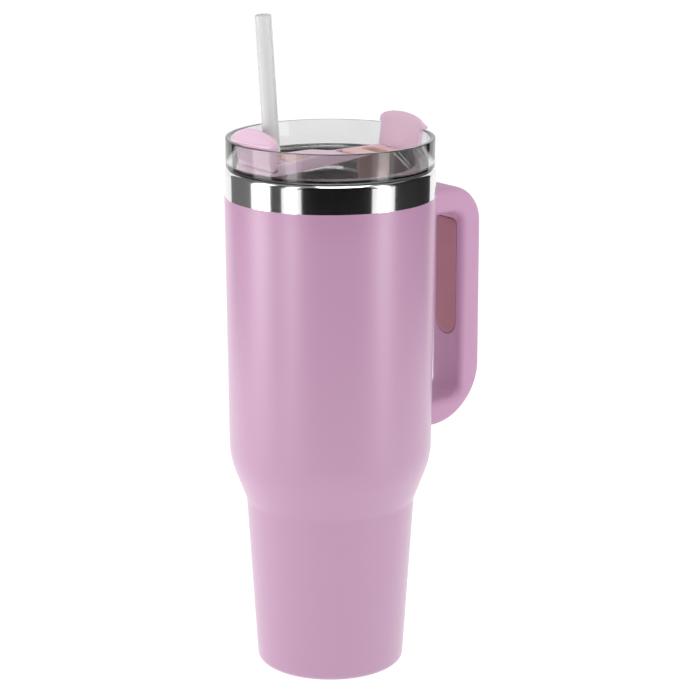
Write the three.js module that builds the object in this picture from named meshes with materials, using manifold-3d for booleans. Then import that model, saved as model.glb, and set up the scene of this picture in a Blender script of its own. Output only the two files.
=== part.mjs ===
// An insulated tumbler with a carrying handle, a clear press-in lid with two flip flaps, and a straw.
// Millimetres, +Z up. The origin is on the tumbler's axis, on the surface it stands on, and the
// handle is on the +X side.
import * as THREE from "three";
import { mergeVertices } from "three/addons/utils/BufferGeometryUtils.js";
import Module from "manifold-3d";

const wasm = await Module();
wasm.setup();

// Rounds and clearances.
const FACETS = 48; // round a full turn of a large piece
const SMALL_FACETS = 16; // round a full turn of a small piece
const TURNED_STEPS = 2; // along each rounded stretch of a turned outline
const CURVE_STEPS = 4; // along each rounded stretch of any other outline
const GAP = 0.3; // between pieces that touch
const RUN_GAP = 0.15; // round a pin that a flap turns on
const PAST = 1; // how far a cutter runs past what it cuts

// Double-walled body.
const WALL = 0.8;
const VACUUM = 2.6;
const PAD_PROUD = 0.6; // silicone below the steel
const BASE_R = 35;
const EDGE_R = 3;
const WAIST_R = 39.85;
const WAIST_Z = 82;
const SHOULDER_R = 47.7;
const SHOULDER_Z = 102.5;
const SHOULDER_ROUND = 7;
const BODY_R = 49;
const RIM_Z = 241.7;
const BARE_H = 13.45; // polished steel above the coloured coat
const RIM_ROUND = 2.4;
const FOOT_LIP = 4; // how far the shell turns in under the body
const BASE_PLATE_Z = 4.6;
const FLOOR_GAP = 4.2; // vacuum under the liner's floor
const LINER_CORNER_R = 9;
const PORT_R = 1.2; // evacuation hole
const GETTER_R = 5;
const GETTER_H = 2;
const GETTER_X = 15;
const BEAD_H = 1;

// Handle.
const HANDLE_REACH = 83;
const HANDLE_DROP = 2.75; // top of the handle below the coat's edge
const HANDLE_RISE = 6.5; // underside of the handle above the shoulder
const HANDLE_W = 23;
const HANDLE_T = 12.7;
const HANDLE_EDGE = 3.8;
const TOP_CORNER = 18.5;
const BOTTOM_CORNER = 28;
const INNER_CORNER = 5.5;
const INLAY_W = 14.6;
const INLAY_SHARE = 0.632; // of the height between the arms
const INLAY_DEPTH = 1.4;
const INLAY_CORNER = 3;
const INLAY_TOP_MARGIN = 4.2; // from the underside of the upper arm
const BRACKET_L = 11;
const BRACKET_W = 12;
const BRACKET_H = 5.6;
const ROOT_DEPTH = 9; // how far arms and brackets are drawn into the body before they are cut
const SCREW_R = 1.4;
const SCREW_HEAD_R = 2.8;
const SCREW_HEAD_H = 1.5;
const SCREW_SINK = 0.2; // its head above the arm's underside

// Lid bowl and gasket.
const LID_R = 48.4;
const LID_WALL = 2.3;
const LID_H = 13.7; // from the steel rim to the lid's rim
const LID_FLOOR = 2.2;
const LID_FILLET = 1;
const RECESS = 11; // the bowl's floor below the lid's seat
const LEDGE_R = 39.4; // inner edge of the ledge that carries the bridge
const LEDGE_T = 2;
const PLUG_DEPTH = 14; // how far the lid reaches into the liner
const PLUG_WALL = 2.8;
const PLUG_GAP = 0.9;
const GROOVE_RISE = 3; // gasket groove above the plug's lower edge
const GASKET_H = 4;
const GASKET_IN = 1.3;
const GASKET_RIB = 0.7;

// Bridge across the lid, with a straw deck at -X and a low sip seat at +X.
const BRIDGE_W = 26.7;
const RAIL = 2.2;
const DECK_H = 4.3;
const LOW_H = 2.6;
const TRAY_FLOOR = 0.9;
const RAMP_FROM = -4;
const RAMP_TO = 12;
const SEAL_RISE = 0.4; // seals stand above the bridge
const SEAL_T = 2.4;
const SEAL_CORNER = 3;
const NECK_WALL = 1.4;
const NECK_OVERHANG = 1.2; // seal necks below the lid's floor
const SIP_X = 26;
const SIP_L = 7;
const SIP_W = 15;
const DECK_SEAL_LENGTH = 14.5;

// Flaps and their pins.
const PIVOT_X = 37.5;
const PIVOT_DROP = 1.2; // pin axis below the bridge's top at each end
const FLAP_LEAN = 8 * Math.PI / 180; // outward, when open
const FLAP_T = 2.2;
const FLAP_OFFSET = 1.9; // inner face from the pin axis
const FLAP_W = BRIDGE_W + 2.5;
const LIP_W = BRIDGE_W + 4.3;
const CREST_ABOVE_RIM = 7.6; // top of a flap above the lid's rim
const LIP_ABOVE_RIM = 1.4;
const LIP_REACH_R = 49.2; // the lip overhangs the lid's rim to this radius
const LIP_T = 1.6;
const HEAD_STATIONS = 12; // sections across a flap's head
const PIN_R = 0.6;
const PIN_INSET = 0.5;
const KNUCKLE_R = 1.35;
const KNUCKLE_CLEAR = 0.8; // between a knuckle and the straw's neck
const KNUCKLE_INSET = 0.3;
const TONGUE_DROP = 0.8; // how far a flap reaches below its pin axis
const TONGUE_CORNER = 2;

// Straw.
const STRAW_R = 3.8;
const STRAW_BORE_R = 3;
const STRAW_CLEAR = 2.2; // above the liner's floor
const STRAW_LEAN = 4.1 * Math.PI / 180;
const STRAW_X = -32.8; // where its axis crosses the top of the straw seal
const STRAW_ABOVE = 66; // length above the seal
const STRAW_GAP = 0.25;

// Derived places.
const coatZ = RIM_Z - BARE_H;
const linerR = BODY_R - WALL - VACUUM - WALL;
const linerFloorZ = BASE_PLATE_Z + WALL + FLOOR_GAP;
const lidSeatZ = RIM_Z + GAP;
const lidRimZ = RIM_Z + LID_H;
const ledgeZ = lidSeatZ + 1;
const lidFloorZ = lidSeatZ - RECESS;
const lidInR = LID_R - LID_WALL;
const bridgeZ = ledgeZ + GAP;
const bridgeR = lidInR - LID_FILLET - GAP;
const deckZ = bridgeZ + DECK_H;
const lowZ = bridgeZ + LOW_H;
const trayW = BRIDGE_W - 2 * RAIL;
const sealW = trayW - 2 * GAP - 0.1;
const gripX = HANDLE_REACH - HANDLE_T;
const handleTop = coatZ - HANDLE_DROP;
const handleBottom = SHOULDER_Z + HANDLE_RISE;
const holeTop = handleTop - HANDLE_T;
const holeBottom = handleBottom + HANDLE_T;
const { sin, cos, PI, sqrt } = Math;

// ---- Solids from three.js geometry ----

// A closed three.js geometry as a manifold-3d solid.
function solid(geometry) {
  const bare = geometry.clone();
  bare.deleteAttribute("normal");
  bare.deleteAttribute("uv");
  const merged = mergeVertices(bare, 1e-4);
  const index = merged.index.array;
  const kept = [];
  for (let i = 0; i < index.length; i += 3) {
    const [a, b, c] = index.slice(i, i + 3);
    if (a !== b && b !== c && c !== a) kept.push(a, b, c);
  }
  return new wasm.Manifold(new wasm.Mesh({
    numProp: 3,
    vertProperties: merged.attributes.position.array,
    triVerts: new Uint32Array(kept),
  }));
}

// A named mesh of a solid, with its own material.
function mesh(name, shape, look) {
  const { vertProperties, triVerts } = shape.getMesh();
  const geometry = new THREE.BufferGeometry();
  geometry.setAttribute("position", new THREE.BufferAttribute(vertProperties, 3));
  geometry.setIndex(new THREE.BufferAttribute(triVerts, 1));
  geometry.computeVertexNormals();
  const made = new THREE.Mesh(geometry, new THREE.MeshStandardMaterial(look));
  made.name = name;
  return made;
}

// Turns a closed outline of (radius, height) points round the Z axis.
function revolve(points, facets = FACETS) {
  const loop = THREE.ShapeUtils.area(points) < 0 ? [...points].reverse() : points;
  return solid(new THREE.LatheGeometry(loop, facets).rotateX(PI / 2));
}

// A path's points, with repeats left out.
function pointsOf(path) {
  return path.getPoints(TURNED_STEPS).filter((p, i, all) => !i || p.distanceTo(all[i - 1]) > 1e-5);
}

// Moves an open outline to its left by a distance, with mitred corners.
function offset(points, distance) {
  const normals = points.slice(1).map((p, i) => {
    const along = p.clone().sub(points[i]).normalize();
    return new THREE.Vector2(-along.y, along.x);
  });
  return points.map((p, i) => {
    const before = normals[Math.max(i - 1, 0)];
    const after = normals[Math.min(i, normals.length - 1)];
    const mitre = before.clone().add(after).divideScalar(1 + before.dot(after));
    return p.clone().addScaledVector(mitre, distance);
  });
}

// An open outline and its offset, joined into a closed wall.
function wallOf(points, thickness) {
  return [...points, ...offset(points, thickness).reverse(), points[0]];
}

// A box between two corners.
function block(low, high) {
  const size = high.map((v, i) => v - low[i]);
  const middle = high.map((v, i) => (v + low[i]) / 2);
  return solid(new THREE.BoxGeometry(...size).translate(...middle));
}

// An upright rod on the Z axis, between two heights.
function rod(radius, from, to, facets = SMALL_FACETS) {
  const geometry = new THREE.CylinderGeometry(radius, radius, to - from, facets);
  return solid(geometry.rotateX(PI / 2).translate(0, 0, (from + to) / 2));
}

// A rod along Y, centred on the XZ point.
function crossRod(radius, x, z, from, to) {
  const geometry = new THREE.CylinderGeometry(radius, radius, to - from, SMALL_FACETS);
  return solid(geometry.translate(x, (from + to) / 2, z));
}

// A slab of a plan outline in XY between two heights.
function slab(shape, from, to) {
  const settings = { depth: to - from, bevelEnabled: false, curveSegments: CURVE_STEPS };
  return solid(new THREE.ExtrudeGeometry(shape, settings).translate(0, 0, from));
}

// A side outline in XZ, extruded across Y to a width, centred on Y = 0.
function across(shape, width) {
  const settings = { depth: width, bevelEnabled: false, curveSegments: CURVE_STEPS };
  return solid(new THREE.ExtrudeGeometry(shape, settings).rotateX(PI / 2).translate(0, width / 2, 0));
}

// A rectangle with round corners, centred on a point.
function roundRect(x, y, length, width, radius) {
  const [l, w] = [length / 2 - radius, width / 2 - radius];
  return new THREE.Shape()
    .moveTo(x - l, y - w - radius)
    .lineTo(x + l, y - w - radius)
    .absarc(x + l, y - w, radius, -PI / 2, 0)
    .absarc(x + l, y + w, radius, 0, PI / 2)
    .absarc(x - l, y + w, radius, PI / 2, PI)
    .absarc(x - l, y - w, radius, PI, 1.5 * PI);
}

// Joins matching XZ sections, given as rings of [x, y, z] points in order of Y, with flat ends.
function loft(rings) {
  const count = rings[0].length;
  const last = (rings.length - 1) * count;
  const triangles = [];
  for (let r = 1; r < rings.length; r++) {
    for (let i = 0; i < count; i++) {
      const [a, b] = [(r - 1) * count + i, (r - 1) * count + (i + 1) % count];
      triangles.push(a, b + count, b, a, a + count, b + count);
    }
  }
  const end = rings[0].map(([x, , z]) => new THREE.Vector2(x, z));
  for (const [a, b, c] of THREE.ShapeUtils.triangulateShape(end, [])) {
    triangles.push(a, b, c, last + c, last + b, last + a);
  }
  const skin = new THREE.BufferGeometry();
  skin.setAttribute("position", new THREE.Float32BufferAttribute(rings.flat(2), 3));
  skin.setIndex(triangles);
  return solid(skin);
}

// ---- Body ----

// The outer shell's outside, from under the foot up to the rim.
function shellOutline() {
  const slope = new THREE.Vector2(SHOULDER_R - WAIST_R, SHOULDER_Z - WAIST_Z).normalize();
  const corner = new THREE.Vector2(SHOULDER_R, SHOULDER_Z);
  const side = new THREE.Vector2(BODY_R - SHOULDER_R, coatZ - SHOULDER_Z).normalize();
  const start = corner.clone().addScaledVector(slope, -SHOULDER_ROUND);
  const end = corner.clone().addScaledVector(side, SHOULDER_ROUND);
  return new THREE.Path()
    .moveTo(BASE_R - FOOT_LIP, PAD_PROUD)
    .lineTo(BASE_R - EDGE_R, PAD_PROUD)
    .absarc(BASE_R - EDGE_R, PAD_PROUD + EDGE_R, EDGE_R, -PI / 2, 0)
    .lineTo(WAIST_R, WAIST_Z)
    .lineTo(start.x, start.y)
    .quadraticCurveTo(corner.x, corner.y, end.x, end.y)
    .lineTo(BODY_R, coatZ)
    .absarc(BODY_R - RIM_ROUND, RIM_Z - RIM_ROUND, RIM_ROUND, 0, PI / 2)
    .lineTo(linerR + WALL + GAP, RIM_Z);
}
const shell = pointsOf(shellOutline());

// The liner's vacuum side: the shell's side moved in by the wall and the vacuum, then a round floor.
function linerOutline() {
  const side = offset(shell, WALL + VACUUM)
    .filter((p, i) => p.y > linerFloorZ + LINER_CORNER_R && shell[i].x >= BASE_R && shell[i].y <= coatZ);
  const taper = (WAIST_R - BASE_R) / (WAIST_Z - PAD_PROUD - EDGE_R);
  const cornerR = side[0].x - taper * (side[0].y - linerFloorZ - LINER_CORNER_R);
  const floor = new THREE.Path()
    .moveTo(0, linerFloorZ)
    .lineTo(cornerR - LINER_CORNER_R, linerFloorZ)
    .absarc(cornerR - LINER_CORNER_R, linerFloorZ + LINER_CORNER_R, LINER_CORNER_R, -PI / 2, 0);
  return [...pointsOf(floor), ...side, new THREE.Vector2(linerR + WALL, RIM_Z)];
}

// A full-bodied core that fills the shell, grown by a gap, to cut what lies against it.
function shellCore(gap) {
  const grown = offset(shell.filter((p) => p.y <= coatZ), -gap);
  const top = grown[grown.length - 1];
  const ends = [new THREE.Vector2(0, top.y), new THREE.Vector2(0, grown[0].y)];
  return revolve([ends[1], ...grown, ...ends]);
}

function innerLiner() {
  const outside = linerOutline();
  const inside = offset(outside, WALL);
  inside[0].x = 0;
  inside[inside.length - 1].y = RIM_Z;
  return revolve([...outside, ...inside.reverse(), outside[0]]);
}

function basePlate() {
  const top = BASE_PLATE_Z + WALL;
  const radius = BASE_R - WALL - GAP;
  return rod(radius, BASE_PLATE_Z, top, FACETS).subtract(rod(PORT_R, BASE_PLATE_Z - PAST, top + PAST));
}

function sealBead() {
  const top = BASE_PLATE_Z - GAP;
  return rod(2 * PORT_R, top - BEAD_H, top).add(rod(PORT_R - GAP, top - BEAD_H / 2, BASE_PLATE_Z + WALL));
}

// The pad snaps behind the shell's turned-in lip and stands a little below the steel.
function basePad() {
  const lipTop = PAD_PROUD + WALL + GAP;
  const inLip = BASE_R - FOOT_LIP - GAP;
  const flange = inLip + 2;
  const top = lipTop + 0.9;
  const edge = 0.5;
  return revolve([
    [0, 0], [inLip - edge, 0], [inLip, edge], [inLip, lipTop], [flange, lipTop], [flange, top], [0, top],
  ].map(([r, z]) => new THREE.Vector2(r, z)));
}

// ---- Handle ----

// The C-shaped side of the handle, with its arms run into the body for the shell's core to cut.
function handleSide() {
  const end = BODY_R - ROOT_DEPTH;
  return new THREE.Shape()
    .moveTo(end, handleBottom)
    .lineTo(HANDLE_REACH - BOTTOM_CORNER, handleBottom)
    .absarc(HANDLE_REACH - BOTTOM_CORNER, handleBottom + BOTTOM_CORNER, BOTTOM_CORNER, -PI / 2, 0)
    .absarc(HANDLE_REACH - TOP_CORNER, handleTop - TOP_CORNER, TOP_CORNER, 0, PI / 2)
    .lineTo(end, handleTop)
    .lineTo(end, holeTop)
    .absarc(gripX - INNER_CORNER, holeTop - INNER_CORNER, INNER_CORNER, PI / 2, 0, true)
    .absarc(gripX - INNER_CORNER, holeBottom + INNER_CORNER, INNER_CORNER, 0, -PI / 2, true)
    .lineTo(end, holeBottom);
}

// The inlay's face outline in YZ: square at the top and round at the bottom.
function inlayFace(extra) {
  const half = INLAY_W / 2 + extra;
  const top = holeTop - INLAY_TOP_MARGIN;
  const bottom = top - INLAY_SHARE * (holeTop - holeBottom);
  const corner = INLAY_CORNER + extra;
  return new THREE.Shape()
    .absarc(0, bottom + INLAY_W / 2, half, PI, 2 * PI)
    .absarc(half - corner, top + extra - corner, corner, 0, PI / 2)
    .absarc(corner - half, top + extra - corner, corner, PI / 2, PI);
}

// A YZ outline extruded along X between two stations.
function alongX(shape, from, to) {
  const settings = { depth: to - from, bevelEnabled: false, curveSegments: 2 * CURVE_STEPS };
  const turn = new THREE.Matrix4().makeBasis(
    new THREE.Vector3(0, 1, 0), new THREE.Vector3(0, 0, 1), new THREE.Vector3(1, 0, 0));
  return solid(new THREE.ExtrudeGeometry(shape, settings).applyMatrix4(turn).translate(from, 0, 0));
}

const bracketX = BODY_R + BRACKET_L;
const screwX = BODY_R + 0.6 * BRACKET_L;
const armZ = { upper: handleTop - HANDLE_T / 2, lower: handleBottom + HANDLE_T / 2 };

// A steel block welded to the shell, which the arm slides over, with a hole for its screw.
function bracket(z, extra = 0) {
  const half = [BRACKET_W / 2 + extra, BRACKET_H / 2 + extra];
  return block([BODY_R - ROOT_DEPTH, -half[0], z - half[1]], [bracketX + extra, half[0], z + half[1]]);
}

// A pan-head screw that enters from under the arm.
function screw(z, extra = 0) {
  const under = z - HANDLE_T / 2 + SCREW_SINK;
  return rod(SCREW_HEAD_R + extra, under, under + SCREW_HEAD_H + extra)
    .add(rod(SCREW_R + extra, under, z + BRACKET_H / 4 + extra))
    .translate(screwX, 0, 0);
}

// The counterbore and the hole for a screw.
function screwHole(z) {
  const under = z - HANDLE_T / 2;
  const mouth = rod(SCREW_HEAD_R + GAP, under - PAST, under + SCREW_SINK + PAST).translate(screwX, 0, 0);
  return screw(z, GAP).add(mouth);
}

function handleFrame() {
  const flat = HANDLE_W - 2 * HANDLE_EDGE;
  const geometry = new THREE.ExtrudeGeometry(handleSide(), {
    depth: flat,
    bevelThickness: HANDLE_EDGE,
    bevelSize: HANDLE_EDGE,
    bevelOffset: -HANDLE_EDGE,
    bevelSegments: 3,
    curveSegments: CURVE_STEPS + 1,
  });
  let made = solid(geometry.rotateX(PI / 2).translate(0, flat / 2, 0));
  made = made.subtract(shellCore(GAP));
  made = made.subtract(alongX(inlayFace(GAP), gripX - PAST, gripX + INLAY_DEPTH));
  for (const z of Object.values(armZ)) {
    made = made.subtract(bracket(z, GAP)).subtract(screwHole(z));
  }
  return made;
}

// ---- Straw and the places its axis passes ----

const strawTopZ = deckZ + SEAL_RISE;

// A rod along the straw's axis, between two lengths measured up the axis from the seal's top.
function alongStraw(radius, from, to) {
  return rod(radius, from, to).rotate([0, -STRAW_LEAN * 180 / PI, 0]).translate(STRAW_X, 0, strawTopZ);
}

function straw() {
  const bottom = (linerFloorZ + WALL + STRAW_CLEAR - strawTopZ) / cos(STRAW_LEAN);
  return alongStraw(STRAW_R, bottom, STRAW_ABOVE)
    .subtract(alongStraw(STRAW_BORE_R, bottom - PAST, STRAW_ABOVE + PAST));
}

// ---- Lid ----

const neckR = STRAW_R + STRAW_GAP + NECK_WALL;
const neckBottom = lidFloorZ - LID_FLOOR - NECK_OVERHANG;
const seatTop = { straw: deckZ + SEAL_RISE, sip: lowZ + SEAL_RISE };

// A round-ended slot through the sip seat, grown by a wall.
function sipSlot(extra, from, to) {
  const radius = SIP_L / 2 + extra;
  return slab(roundRect(SIP_X, 0, SIP_L + 2 * extra, SIP_W + 2 * extra, radius - 0.01), from, to);
}

// A rod round the straw that runs from below the lid's floor to above the deck.
function strawBore(radius) {
  return alongStraw(radius, neckBottom - seatTop.straw - PAST, 2 * PAST);
}

function lidBowl() {
  const plugR = linerR - PLUG_GAP;
  const plugIn = plugR - PLUG_WALL;
  const plugBottom = lidSeatZ - PLUG_DEPTH;
  const groove = plugR - GASKET_IN;
  const grooveZ = plugBottom + GROOVE_RISE;
  const lip = LID_WALL / 2;
  const edge = 0.6;
  const outline = new THREE.Path()
    .moveTo(0, lidFloorZ - LID_FLOOR)
    .lineTo(plugIn, lidFloorZ - LID_FLOOR)
    .lineTo(plugIn, plugBottom)
    .lineTo(plugR, plugBottom)
    .lineTo(plugR, grooveZ)
    .lineTo(groove, grooveZ)
    .lineTo(groove, grooveZ + GASKET_H + 2 * GAP)
    .lineTo(plugR, grooveZ + GASKET_H + 2 * GAP)
    .lineTo(plugR, lidSeatZ)
    .lineTo(LID_R - edge, lidSeatZ)
    .lineTo(LID_R, lidSeatZ + edge)
    .absarc(LID_R - lip, lidRimZ - lip, lip, 0, PI)
    .lineTo(lidInR, ledgeZ + LID_FILLET)
    .lineTo(lidInR - LID_FILLET, ledgeZ)
    .lineTo(LEDGE_R, ledgeZ)
    .lineTo(LEDGE_R, ledgeZ - LEDGE_T)
    .lineTo(plugIn, ledgeZ - LEDGE_T)
    .lineTo(plugIn, lidFloorZ + LID_FILLET)
    .lineTo(plugIn - LID_FILLET, lidFloorZ)
    .lineTo(0, lidFloorZ);
  return revolve(pointsOf(outline))
    .subtract(strawBore(neckR + GAP))
    .subtract(sipSlot(NECK_WALL + GAP, neckBottom - PAST, lidFloorZ + PAST));
}

// A ring in the plug's groove with two wiping ribs.
function lidGasket() {
  const inner = linerR - PLUG_GAP - GASKET_IN + GAP;
  const outer = linerR - GAP;
  const bottom = lidSeatZ - PLUG_DEPTH + GROOVE_RISE + GAP;
  const body = outer - GASKET_RIB;
  const rib = GASKET_H / 4;
  return revolve([
    [inner, 0], [body, 0], [outer, rib], [body, 2 * rib], [outer, 3 * rib], [body, 4 * rib],
    [inner, 4 * rib], [inner, 0],
  ].map(([r, z]) => new THREE.Vector2(r, bottom + z)));
}

// The deck seal's plan: a wide field, and a tab round the straw between the flap's knuckles.
function deckSealPlan(extra) {
  const wide = [STRAW_X + 1 - extra, STRAW_X + 1 + DECK_SEAL_LENGTH + extra];
  const [half, tab] = [sealW / 2 + extra, neckR + extra];
  const r = SEAL_CORNER;
  return new THREE.Shape()
    .moveTo(wide[0], -half)
    .lineTo(wide[1] - r, -half)
    .absarc(wide[1] - r, -half + r, r, -PI / 2, 0)
    .absarc(wide[1] - r, half - r, r, 0, PI / 2)
    .lineTo(wide[0], half)
    .lineTo(wide[0], tab)
    .absarc(STRAW_X, 0, tab, PI / 2, 1.5 * PI)
    .lineTo(wide[0], -tab);
}

const knuckleY = [-1, 1].map((side) => {
  const outer = trayW / 2 - KNUCKLE_INSET;
  const inner = neckR + KNUCKLE_CLEAR;
  return side < 0 ? [-outer, -inner] : [inner, outer];
});

// Each knuckle turns on its own stub pin, which runs out through the rail beside it.
const stubEnd = BRIDGE_W / 2 - PIN_INSET;
const stubY = {
  right: [-stubEnd, knuckleY[0][1] - PIN_INSET],
  left: [knuckleY[1][0] + PIN_INSET, stubEnd],
};

// Room at one end for the flap's tongue and knuckles, with the hole for its pin.
function flapRoom(pivotZ) {
  const reach = bridgeR + PAST;
  const bottom = pivotZ - KNUCKLE_R - GAP;
  const top = deckZ + PAST;
  const tongueX = PIVOT_X + FLAP_OFFSET * cos(FLAP_LEAN) - KNUCKLE_R * sin(FLAP_LEAN) - GAP;
  let room = block([tongueX, -BRIDGE_W, bottom], [reach, BRIDGE_W, top]);
  for (const [low, high] of knuckleY) {
    const behind = PIVOT_X - KNUCKLE_R - GAP;
    room = room.add(block([behind, low - GAP, bottom], [reach, high + GAP, top]));
  }
  for (const [low, high] of Object.values(stubY)) {
    const [from, to] = low < 0 ? [low - PAST, high] : [low, high + PAST];
    room = room.add(crossRod(PIN_R + RUN_GAP, PIVOT_X, pivotZ, from, to));
  }
  return room;
}

const pivots = {
  sip: lowZ - PIVOT_DROP,
  straw: deckZ - PIVOT_DROP,
};

function lidBridge() {
  const end = bridgeR + PAST;
  const side = new THREE.Shape()
    .moveTo(-end, bridgeZ)
    .lineTo(end, bridgeZ)
    .lineTo(end, lowZ)
    .lineTo(RAMP_TO, lowZ)
    .bezierCurveTo((RAMP_FROM + RAMP_TO) / 2, lowZ, (RAMP_FROM + RAMP_TO) / 2, deckZ, RAMP_FROM, deckZ)
    .lineTo(-end, deckZ);
  const below = bridgeZ - PAST;
  const corner = 2;
  const tray = roundRect((RAMP_TO + end) / 2, 0, end - RAMP_TO + 2 * corner, trayW, corner);
  return across(side, BRIDGE_W)
    .intersect(rod(bridgeR, below, deckZ + PAST, FACETS))
    .subtract(slab(tray, bridgeZ + TRAY_FLOOR, deckZ + PAST))
    .subtract(slab(deckSealPlan(GAP), seatTop.straw - SEAL_T - GAP, deckZ + PAST))
    .subtract(strawBore(neckR + GAP))
    .subtract(sipSlot(NECK_WALL + GAP, below, deckZ))
    .subtract(flapRoom(pivots.sip))
    .subtract(flapRoom(pivots.straw).rotate([0, 0, 180]));
}

function strawSeal() {
  const neck = alongStraw(neckR, neckBottom - seatTop.straw, -SEAL_T / 2);
  return slab(deckSealPlan(0), seatTop.straw - SEAL_T, seatTop.straw)
    .add(neck)
    .subtract(strawBore(STRAW_R + STRAW_GAP));
}

function sipSeal() {
  const base = bridgeZ + TRAY_FLOOR + GAP;
  const ends = [RAMP_TO + 1.5, PIVOT_X - KNUCKLE_R - 2 * GAP];
  const plan = roundRect((ends[0] + ends[1]) / 2, 0, ends[1] - ends[0], sealW, SEAL_CORNER);
  return slab(plan, base, seatTop.sip)
    .add(sipSlot(NECK_WALL, neckBottom, (base + seatTop.sip) / 2))
    .subtract(sipSlot(0, neckBottom - PAST, seatTop.sip + PAST));
}

// ---- Flaps ----

// The head's section at one station across the flap: out over the rim and back up to the crest.
function headSection(y, crest, lipZ) {
  const arch = sqrt(1 - (2 * y / (LIP_W + 0.6)) ** 2);
  const face = FLAP_OFFSET + FLAP_T;
  const tip = face + (LIP_REACH_R - lidInR + 0.6) * (0.35 + 0.65 * arch);
  const base = lipZ + LIP_T;
  const top = base + (crest - base) * arch;
  const section = new THREE.Path()
    .moveTo(FLAP_OFFSET, lipZ)
    .lineTo(tip - LIP_T / 2, lipZ)
    .absarc(tip - LIP_T / 2, lipZ + LIP_T / 2, LIP_T / 2, -PI / 2, PI / 2)
    .quadraticCurveTo(face + 0.4 * (tip - face), base + 0.45 * (top - base), face - 0.6, top)
    .lineTo(FLAP_OFFSET + 0.4, top)
    .lineTo(FLAP_OFFSET, top - 0.4);
  return section.getPoints(3).map((p) => [p.x, y, p.y]);
}

// A flap upright on its pin axis, with its outer face towards +X.
function flap(pivotZ) {
  const crest = (lidRimZ + CREST_ABOVE_RIM - pivotZ) / cos(FLAP_LEAN);
  const lipZ = (lidRimZ + LIP_ABOVE_RIM - pivotZ) / cos(FLAP_LEAN);
  const half = FLAP_W / 2;
  const tongue = new THREE.Shape()
    .moveTo(TONGUE_CORNER - half, -TONGUE_DROP)
    .lineTo(half - TONGUE_CORNER, -TONGUE_DROP)
    .lineTo(half, TONGUE_CORNER - TONGUE_DROP)
    .lineTo(half, lipZ + LIP_T / 2)
    .lineTo(-half, lipZ + LIP_T / 2)
    .lineTo(-half, TONGUE_CORNER - TONGUE_DROP);
  const rings = Array.from({ length: HEAD_STATIONS + 1 }, (_, i) => {
    const y = LIP_W / 2 * sin(PI * (i / HEAD_STATIONS - 0.5));
    return headSection(y, crest, lipZ);
  });
  let made = alongX(tongue, FLAP_OFFSET, FLAP_OFFSET + FLAP_T).add(loft(rings));
  for (const [low, high] of knuckleY) {
    const web = block([0, low, -TONGUE_DROP], [FLAP_OFFSET + 0.5, high, 0.8 * KNUCKLE_R]);
    made = made.add(crossRod(KNUCKLE_R, 0, 0, low, high)).add(web);
  }
  return made.subtract(crossRod(PIN_R + RUN_GAP, 0, 0, -half, half));
}

// ---- Materials ----

const coat = { color: "#bb8fb0", roughness: 0.5, metalness: 0.1 };
const plastic = { color: "#bf94b4", roughness: 0.45, metalness: 0 };
const lidPlastic = { color: "#dcb0cd", roughness: 0.35, metalness: 0 };
const steel = { color: "#c9cacb", roughness: 0.15, metalness: 1 };
const dullSteel = { color: "#9b9c9d", roughness: 0.4, metalness: 1 };
const silicone = { color: "#e6bdb9", roughness: 0.6, metalness: 0 };
const pad = { color: "#3a3638", roughness: 0.8, metalness: 0 };
const grip = { color: "#b5707f", roughness: 0.7, metalness: 0 };
const clear = { color: "#e8ecec", roughness: 0.05, metalness: 0, transparent: true, opacity: 0.35 };
const frosted = { color: "#e4e4e4", roughness: 0.25, metalness: 0, transparent: true, opacity: 0.6 };

// ---- Assembly ----

const body = new THREE.Group();
body.add(
  mesh("outer_shell", revolve(wallOf(shell, WALL)), coat),
  mesh("inner_liner", innerLiner(), steel),
  mesh("base_plate", basePlate(), dullSteel),
  mesh("getter", rod(GETTER_R, 0, GETTER_H), dullSteel),
  mesh("seal_bead", sealBead(), dullSteel),
  mesh("base_pad", basePad(), pad),
);
body.getObjectByName("getter").position.set(GETTER_X, 0, BASE_PLATE_Z + WALL + GAP);

const handle = new THREE.Group();
handle.add(
  mesh("handle_frame", handleFrame(), plastic),
  mesh("grip_inlay", alongX(inlayFace(0), gripX - GAP, gripX + INLAY_DEPTH - GAP), grip),
);
for (const [end, z] of Object.entries(armZ)) {
  const steelBlock = bracket(z).subtract(shellCore(GAP)).subtract(screw(z, GAP));
  handle.add(mesh(`handle_bracket_${end}`, steelBlock, dullSteel));
  handle.add(mesh(`handle_screw_${end}`, screw(z), steel));
}

const lid = new THREE.Group();
lid.add(
  mesh("lid_bowl", lidBowl(), clear),
  mesh("lid_gasket", lidGasket(), silicone),
  mesh("lid_bridge", lidBridge(), lidPlastic),
  mesh("straw_seal", strawSeal(), silicone),
  mesh("sip_seal", sipSeal(), silicone),
);
for (const [end, z] of Object.entries(pivots)) {
  const side = new THREE.Group();
  side.rotation.z = end === "sip" ? 0 : PI;
  const hinge = new THREE.Group();
  hinge.position.set(PIVOT_X, 0, z);
  const leaf = mesh(`${end}_flap`, flap(z), lidPlastic);
  leaf.rotation.y = FLAP_LEAN;
  hinge.add(leaf);
  for (const [hand, [low, high]] of Object.entries(stubY)) {
    hinge.add(mesh(`${end}_flap_pin_${hand}`, crossRod(PIN_R, 0, 0, low, high), dullSteel));
  }
  side.add(hinge);
  lid.add(side);
}

const tumbler = new THREE.Group();
tumbler.add(body, handle, lid, mesh("straw", straw(), frosted));

export default tumbler;
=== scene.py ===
"""An insulated tumbler with a side handle, a clear lid with two flip flaps, and a straw."""
from math import cos, pi, radians, sin, tan

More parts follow.
